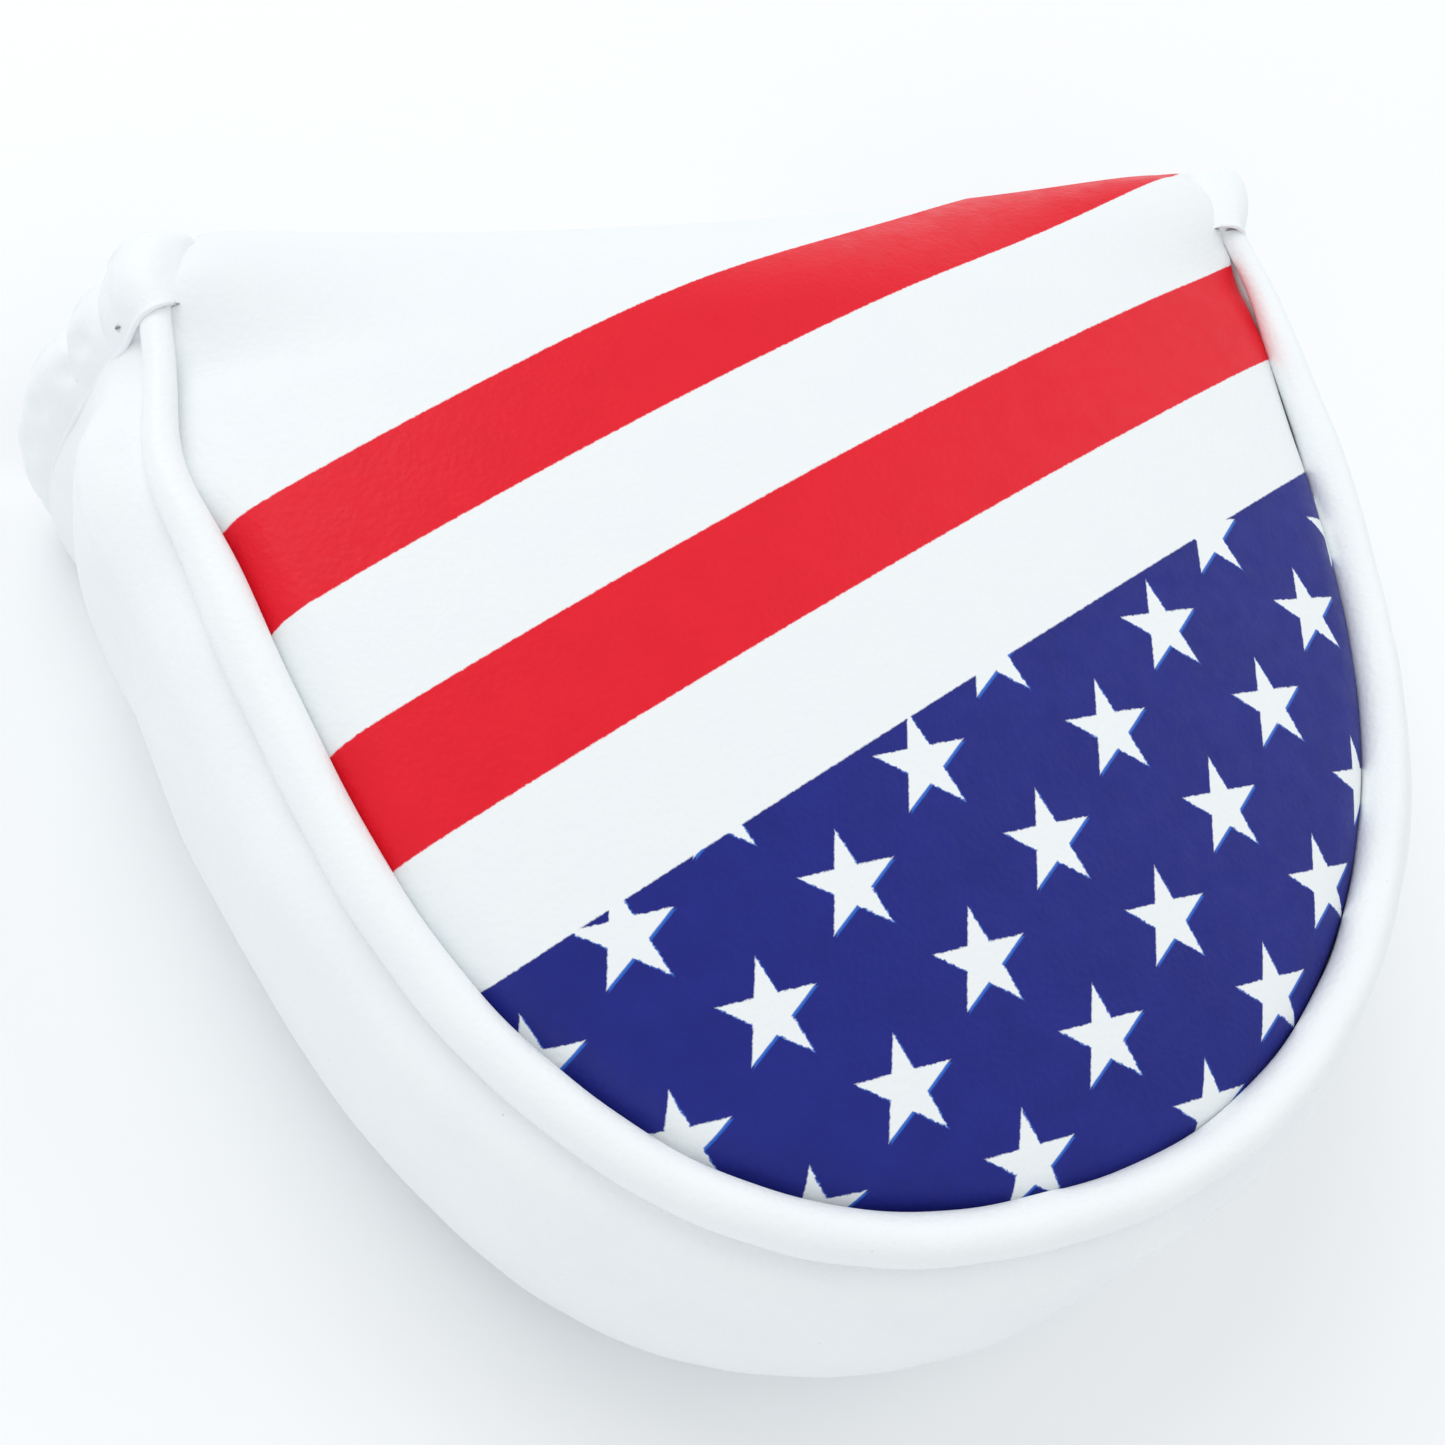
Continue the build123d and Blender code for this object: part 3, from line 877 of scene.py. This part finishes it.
def build_gusset():
    around, down = 380, 52
    sheet = open_grid("gusset_sheet", wall_grid(around, down))
    middle = np.array([0, WIDEST - 30, 15.0]) * MM
    flip_if(((points_of(sheet) - middle) * normals_of(sheet)).sum(1).mean() < 0, sheet)
    index = np.arange(around * down).reshape(around, down)
    held = np.unique(np.concatenate([index[:, :3].ravel(), index[:, -3:].ravel(),
                                     index[:2].ravel(), index[-2:].ravel()]))
    before, normals = points_of(sheet), normals_of(sheet)
    ripple = wobble(before / MM, 26.0, 0.22, 3) + wobble(before / MM, 8.0, 0.05, 4)
    points = before + normals * (ripple * MM)[:, None]
    soften(sheet, held, pressure=4.0, cap=0.8)
    swell = ((points_of(sheet) - before) * normals).sum(1).reshape(around, down)
    for _ in range(12):
        swell[1:-1] = (swell[:-2] + 2 * swell[1:-1] + swell[2:]) / 4
        swell[:, 1:-1] = (swell[:, :-2] + 2 * swell[:, 1:-1] + swell[:, 2:]) / 4
    swollen = points + normals * np.maximum(swell, 0).reshape(-1, 1)
    set_points(sheet, swollen)
    skin = layer(sheet, "gusset_leather", 0, SKIN)
    inner = []
    for name, trim, drop, depth, thickness in (("gusset_foam_wall", 5, 1, SKIN + 0.02, FOAM - 0.04),
                                               ("gusset_plush", 3, 3, SKIN + FOAM + 0.02, LINING)):
        short = open_grid(name + "_sheet", points.reshape(around, down, 3)[trim:-trim, :-drop] / MM)
        mine, its = (p.data.polygons[len(p.data.polygons) // 2].normal for p in (short, sheet))
        flip_if(mine.dot(its) < 0, short)
        inner.append(layer(short, name, depth, thickness))
        remove(short)
    foam, lining = inner
    remove(sheet)
    finish(skin, "white_leather", "gusset_skin", padded=0.7)
    finish(foam, "foam", "gusset_foam", padded=0.7)
    finish(lining, "lining", "gusset_lining")


# ---------------- hems

# The hem's line where it is sewn to the wall, and along its own edge at the mouth:
# (offset from the panel's outline, height over the seam plane). Its elastic gathers it
# into three scallops.
HEM_ROOT = [(-1.4, -0.8), (-0.6, 0.7), (1.1, 1.5), (2.7, 0.9), (3.5, -1.0), (3.9, -4.6),
            (4.7, -9.4), (5.6, -13.6), (6.6, -18.2), (7.3, -23.8), (7.2, -28.6), (6.2, -34.0),
            (4.6, -38.0), (2.8, -40.2)]
HEM_RIM = [(-1.0, -0.8), (1.0, 0.5), (3.8, 0.9), (5.9, 0.0), (6.9, -2.2), (6.8, -4.4),
           (6.5, -5.7), (8.0, -6.6), (9.0, -8.8), (9.1, -11.0), (8.6, -12.6), (10.2, -13.6),
           (11.6, -16.5), (12.1, -21.0), (12.0, -26.0), (11.0, -31.0), (8.8, -35.6), (5.8, -39.4)]
HEM_DIMPLES = (0.34, 0.44, 0.56, 0.68, 0.80)


def hem_surface(side, back, front, depth):
    """The hem's surface at a depth under its leather, between two distances."""
    down = 190
    y = np.linspace(back, front, 30)
    rise = np.clip((y - HEM_SEAM) / (HEM_EDGE - HEM_SEAM), 0, 1)
    root, rim = curve_through(HEM_ROOT, down), curve_through(HEM_RIM, down)
    flare = (1 - (1 - rise) ** 1.7)[:, None, None]
    shape = root[None] * (1 - flare) + rim[None] * flare
    tangent = np.gradient(shape, axis=1)
    tangent /= np.linalg.norm(tangent, axis=2)[..., None]
    normal = np.stack([-tangent[..., 1], tangent[..., 0]], axis=2)
    along = np.linspace(0, 1, down)
    puff = 0.5 * np.sin(rise * pi)[:, None] * np.ones(down)[None]
    pucker = 0.15 * np.sin(along * 55 + 0.8) + 0.09 * np.sin(along * 93)
    puff = puff + pucker[None] * (np.sin(np.clip(rise * 1.25, 0, 1) * pi) ** 0.8)[:, None]
    for place in HEM_DIMPLES:
        near = ((along[None] - place) * 46) ** 2 + ((rise[:, None] - 0.36) * 7) ** 2
        puff = puff - 0.75 * np.exp(-near / 1.1)
    fade = ease(along * 14) * ease((1 - along) * 14)
    shape = shape + normal * (puff * fade[None] - depth)[..., None]
    local_y = y - WIDEST
    edge = half_width(np.minimum(local_y, MOUTH_Y), side=side)
    x = side * (edge[:, None] + shape[..., 0])
    seam = lift(x, np.broadcast_to(local_y[:, None], x.shape), 0)
    height = np.maximum(seam[..., 2] + shape[..., 1], 0.5 + depth)
    lean = 1.5 * np.exp(-(((along - 0.17) / 0.12) ** 2))
    place = y[:, None] - lean[None] * (1 - rise[:, None])
    return np.stack([x, place, height], axis=-1)


def hem_piece(side, name, near, far, back, front, root=None):
    """A closed band of the hem between two depths, deeper at its root if that is given."""
    outer = hem_surface(side, back, front, near)
    inner = hem_surface(side, back, front, far)
    if root:
        deep = hem_surface(side, back, front, root)
        share = ease(np.linspace(1, -1.2, len(inner)))[:, None]
        share = share * (1 - ease((np.linspace(0, 1, inner.shape[1]) - 0.85) / 0.1))
        inner = inner * (1 - share[..., None]) + deep * share[..., None]
    middle, half = (outer[-1] + inner[-1]) / 2, (outer[-1] - inner[-1]) / 2
    reach = np.linalg.norm(half, axis=1)
    rim = [middle + half * cos(a) + np.array([0, 1.0, 0]) * (reach * sin(a))[:, None]
           for a in np.linspace(0, pi, 9)[1:-1]]
    loop = np.concatenate([outer, np.stack(rim), inner[::-1]])
    return closed_grid(name, loop.transpose(1, 0, 2))


def build_hems():
    back, front = HEM_SEAM - 0.3, HEM_EDGE - 1.2
    for side, word in ((-1, "left"), (1, "right")):
        casing = hem_piece(side, f"hem_gathered_{word}", 0.0, 2.4, back, front, root=STACK + 0.2)
        finish(casing, "white_leather", f"hem_casing_{word}", padded=0.4)
        elastic = hem_piece(side, f"hem_elastic_strip_{word}", 0.8, 1.6,
                            HEM_SEAM + 0.9, HEM_EDGE - 2.4)
        finish(elastic, "elastic", f"hem_elastic_{word}")
        seam = even_points(hem_surface(side, back, front, 0.0)[0, 10:-3], 150)
        seam[:, 0] -= side * 0.2
        fold = tube(f"hem_seam_fold_{word}", seam, HEM_FOLD_RADIUS, sides=12, taper=8,
                    up=(0.05, 1.0, 0.05))
        finish(fold, "white_leather")


# ---------------- sole

def tongue_half(y, grow):
    """Half-width of the flap's tongue at a distance from its tip."""
    tip = FLAP_TIP_Y - grow
    radius = FLAP_TIP_RADIUS + grow
    half = FLAP_FOLD_HALF + grow
    inset = np.clip(tip + radius - y, 0, radius)
    return half - radius + np.sqrt(np.maximum(radius**2 - inset**2, 0))


def recess(x, y, grow=1.4):
    """How far the sole is pressed in where the tongue lies: 0 to 1."""
    beside = tongue_half(y, grow) - np.abs(x)
    behind = y - (FLAP_TIP_Y - grow)
    return ease(np.minimum(beside, behind) / 1.8 + 0.2)


def sole_outline(grow):
    """The sole's sewn edge, from the mouth's left round to its right."""
    path = d_line(0, 300, SOLE_FRONT - WIDEST)
    out = outward(path)
    end, mouth = wall_shares(path, out)
    offset = (SIDE_PROFILE[-1][0] * (1 - end - mouth) + REAR_PROFILE[-1][0] * end
              + MOUTH_PROFILE[-1][0] * mouth + grow - wall_slack(path))
    side = path + out * offset[:, None]
    side[:, 1] += WIDEST
    return side


def sole_sheet(name, z, grow=0.0, flat=False):
    """A level of the sole at height z, flat or pressed in where the tongue lies."""
    rings, across = 54, 90
    side = sole_outline(grow)
    mouth_x = np.linspace(side[-1, 0], side[0, 0], across)[1:-1]
    loop = np.vstack([side, np.stack([mouth_x, np.full(across - 2, SOLE_FRONT)], axis=1)])
    count = len(loop)
    middle = np.array([0, 4.0])
    shares = 1 - (1 - np.arange(1, rings + 1) / rings) ** 1.25
    plan = (middle + (loop - middle)[None] * shares[:, None, None]).reshape(-1, 2)
    plan = np.vstack([middle, plan])
    height = np.full(len(plan), z)
    if not flat:
        height = z + np.concatenate([[0], np.repeat(shares, count)]) ** SOLE_EDGE_POWER
        height = height + RECESS_TOP * recess(plan[:, 0], plan[:, 1])
    faces = [(0, 1 + (j + 1) % count, 1 + j) for j in range(count)]
    faces += grid_faces(rings, count, True, 1)
    sheet = make_mesh(name, np.concatenate([plan, height[:, None]], axis=1), faces)
    face_out(sheet, always=True)
    return sheet


def between(name, lower, upper):
    """A closed piece between two sheets of the same layout, which it takes the place of."""
    work = bmesh.new()
    below = [work.verts.new(p) for p in points_of(lower)]
    above = [work.verts.new(p) for p in points_of(upper)]
    for face in lower.data.polygons:
        work.faces.new([below[i] for i in face.vertices])
        work.faces.new([above[i] for i in reversed(face.vertices)])
    counts = {}
    for face in lower.data.polygons:
        for a, b in face.edge_keys:
            counts[(a, b)] = counts.get((a, b), 0) + 1
    for (a, b), uses in counts.items():
        if uses == 1:
            work.faces.new((below[a], below[b], above[b], above[a]))
    bmesh.ops.recalc_face_normals(work, faces=work.faces)
    mesh = bpy.data.meshes.new(name)
    work.to_mesh(mesh)
    work.free()
    smooth_shaded(mesh)
    remove(lower)
    remove(upper)
    return add_object(name, mesh)


def build_sole():
    outer = sole_sheet("sole_outer", 0.0)
    points = points_of(outer)
    points[:, 2] += np.abs(wobble(points / MM, 30.0, 0.12, 12)) * MM
    set_points(outer, points)
    leather = between("sole_leather", outer, sole_sheet("sole_inner", SKIN))
    foam = between("sole_foam_pad", sole_sheet("sole_foam_base", SKIN + 0.05, grow=-1.0),
                   sole_sheet("sole_foam_top", SOLE_FOAM_TOP, grow=-1.0, flat=True))
    lining = between("sole_plush", *(sole_sheet("sole_plush_sheet", z, grow=-1.6, flat=True)
                                     for z in (SOLE_FOAM_TOP + 0.05, SOLE_TOP)))
    finish(leather, "white_leather", "sole_skin")
    finish(foam, "foam", "sole_foam", padded=0.8)
    finish(lining, "lining", "sole_lining")
    rim = sole_outline(0.0)
    inside = np.pad(rim - outward(rim) * 3.2, ((0, 0), (0, 1)))[6:-6]
    sewing = stitches("sole_stitches", inside + (0, 0, 0.28),
                      np.tile([0, 0, -1.0], (len(inside), 1)))
    finish(sewing, "white_leather", look="thread")


def sole_binding():
    """Tape folded round the sole's mouth edge, up over its lining."""
    half = float(half_width(SOLE_FRONT - WIDEST)) + 2.6
    x = np.linspace(-half, half, 90)
    outer = curve_through([(-6.0, SOLE_TOP + 0.85), (-1.0, SOLE_TOP + 0.95),
                           (0.7, SOLE_TOP - 0.2), (0.95, 7.4), (0.8, RECESS_TOP + 0.5),
                           (0.0, RECESS_TOP + 0.1)], 26)
    inner = curve_through([(0.05, RECESS_TOP + 0.6), (0.1, 7.4), (0.0, SOLE_TOP - 0.1),
                           (-1.0, SOLE_TOP + 0.15), (-6.0, SOLE_TOP + 0.05)], 26)
    loop = np.vstack([outer, inner])
    low = 0.4 + (RECESS_TOP - 0.4) * recess(x, np.full_like(x, SOLE_FRONT))
    deeper = (SOLE_TOP - low) / (SOLE_TOP - RECESS_TOP)
    rows = []
    for a, b in loop:
        height = SOLE_TOP + (b - SOLE_TOP) * np.where(b < SOLE_TOP, deeper, 1)
        rows.append(np.stack([x, np.full_like(x, SOLE_FRONT + a), height], axis=1))
    grid = np.stack(rows, axis=1)
    finish(closed_grid("sole_mouth_tape", grid), "binding_tape", "sole_mouth_binding")


# ---------------- closure flap

def flap_line(count):
    """The flap's outer line seen from the side, from its seam at the top to its tip."""
    bend = [(FLAP_FACE - FLAP_BEND * (1 - cos(a)), FLAP_BEND * (1 - sin(a)))
            for a in np.linspace(0, pi / 2, 12)[1:-1]]
    line = [(FLAP_FACE, FLAP_TOP_Z), (FLAP_FACE, FLAP_BEND), *bend,
            (FLAP_FACE - FLAP_BEND, 0.0), (FLAP_TIP_Y, 0.0)]
    return even_points(np.array(line), count)


def flap_grid(depth, inset, plump=0.0):
    """The flap's surface at a depth below its outer leather, drawn in from its outline."""
    line = flap_line(150)
    length = lengths(line)
    to_fold = np.clip(length / (FLAP_TOP_Z - FLAP_BEND), 0, 1)
    straight = FLAP_TOP_HALF + (FLAP_FOLD_HALF - FLAP_TOP_HALF) * to_fold
    tip = tongue_half(line[:, 0], 0.0)
    near_tip = line[:, 0] < FLAP_TIP_Y + FLAP_TIP_RADIUS
    half = np.where(near_tip, np.minimum(tip, straight), straight) - inset
    across = np.linspace(-1, 1, 76)
    across = np.sign(across) * np.abs(across) ** 0.8
    edge = np.minimum(half[:, None] * (1 - np.abs(across))[None], (length[-1] - length)[:, None])
    depth = depth + plump * (1 - ease(edge / 5.0))
    shape = line[:, None] + outward(line)[:, None] * depth[..., None]
    x = half[:, None] * across[None]
    puff = FLAP_PUFF * ease(edge / 13) * (shape[..., 1] > 1) * ease((shape[..., 1] - 2) / 8)
    height = shape[..., 1]
    height = height + FLAP_TOP_RISE * (x / FLAP_TOP_HALF) ** 2 * ease((height - 14) / 16)
    return np.stack([x, shape[..., 0] + puff, height], axis=-1)


def flap_solid(name, near, far, inset, plump_near, plump_far):
    """A closed layer of the flap between two depths."""
    outer, inner = flap_grid(near, inset, plump_near), flap_grid(far, inset, plump_far)
    return closed_grid(name, np.concatenate([outer, inner[:, ::-1]], axis=1))


def build_flap():
    leather = flap_solid("flap_leather", 0.0, SKIN, 0.0, 1.0, 0.9)
    finish(leather, "white_leather", "flap_skin", padded=0.7, body="closure_flap")
    foam = flap_solid("flap_foam_pad", SKIN + 0.02, SKIN + 2.18, 1.3, 0.6, -0.6)
    finish(foam, "foam", "flap_foam", padded=0.7, body="closure_flap")
    lining = flap_solid("flap_plush", SKIN + 2.22, FLAP_THICK, 0.9, -0.5, -0.9)
    finish(lining, "lining", "flap_lining", body="closure_flap")
    centre = flap_grid(2.1, 0.3)
    rim = np.vstack([centre[6:, 0], centre[-1, 1:-1], centre[:5:-1, -1]])
    rim = even_points(rim, 300)
    piping = tube("flap_piping", rim, PIPING_RADIUS, sides=12, taper=3, up=(0.31, 0.52, 0.8))
    finish(piping, "white_leather", "flap_binding", body="closure_flap")
    inset = flap_grid(0.42, 3.4)
    row = even_points(np.vstack([inset[4:, 0], inset[-1, 1:-1], inset[:3:-1, -1]]), 400)
    on_face = ease((row[:, 2] - 1.0) / 4.0)
    normals = unit(np.stack([0 * on_face, on_face, -(1 - on_face)], axis=1))
    sewing = stitches("flap_stitches", row, normals)
    finish(sewing, "white_leather", look="thread", body="closure_flap")


# ---------------- put it together

build_panel()
mouth_binding()
build_welt()
build_gusset()
build_hems()
build_sole()
sole_binding()
build_flap()

for node in ("sole_magnets", "flap_magnets"):
    wear(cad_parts[node], "magnet_steel")


# ---------------- floor, light and camera

def build_floor():
    size = 4.0
    mesh = bpy.data.meshes.new("floor")
    mesh.from_pydata([(-size, -size, 0), (size, -size, 0), (size, size, 0), (-size, size, 0)], [],
                     [(0, 1, 2, 3)])
    floor = add_object("floor", mesh)
    look = Look("floor", (0.93, 0.94, 0.95), 0.9, specular=0.1)
    mesh.materials.append(look.bump([(look.noise(3.0, 2.0), 0.02)]))


def area_light(name, place, size, power):
    """A disk lamp that looks at the middle of the cover."""
    data = bpy.data.lights.new(name, "AREA")
    data.shape = "DISK"
    data.size = size
    data.energy = power
    lamp = add_object(name, data)
    lamp.location = place
    lamp.rotation_euler = (Vector((0, 0, 0.02)) - Vector(place)).to_track_quat("-Z", "Y").to_euler()


build_floor()
area_light("key", (-0.35, 0.75, 0.9), 0.9, 4.2)
area_light("fill", (0.8, 0.1, 0.8), 1.0, 1.6)
area_light("rear", (-0.6, -0.7, 0.7), 1.0, 1.1)

world = bpy.data.worlds.new("studio")
world.use_nodes = True
backdrop = world.node_tree.nodes["Background"]
backdrop.inputs["Color"].default_value = (0.97, 0.985, 1.0, 1)
backdrop.inputs["Strength"].default_value = 0.76
bpy.context.scene.world = world
bpy.context.scene.view_settings.view_transform = "Standard"

camera = add_object("camera", bpy.data.cameras.new("camera"))
camera.data.sensor_width = 36.0
camera.data.lens = 58.5
camera.data.clip_start = 0.01
camera.location = (-0.1053, WIDEST * MM - 0.1019, 0.2065)
camera.rotation_euler = [radians(a) for a in (27.25, -19.75, -19.41)]
bpy.context.scene.camera = camera
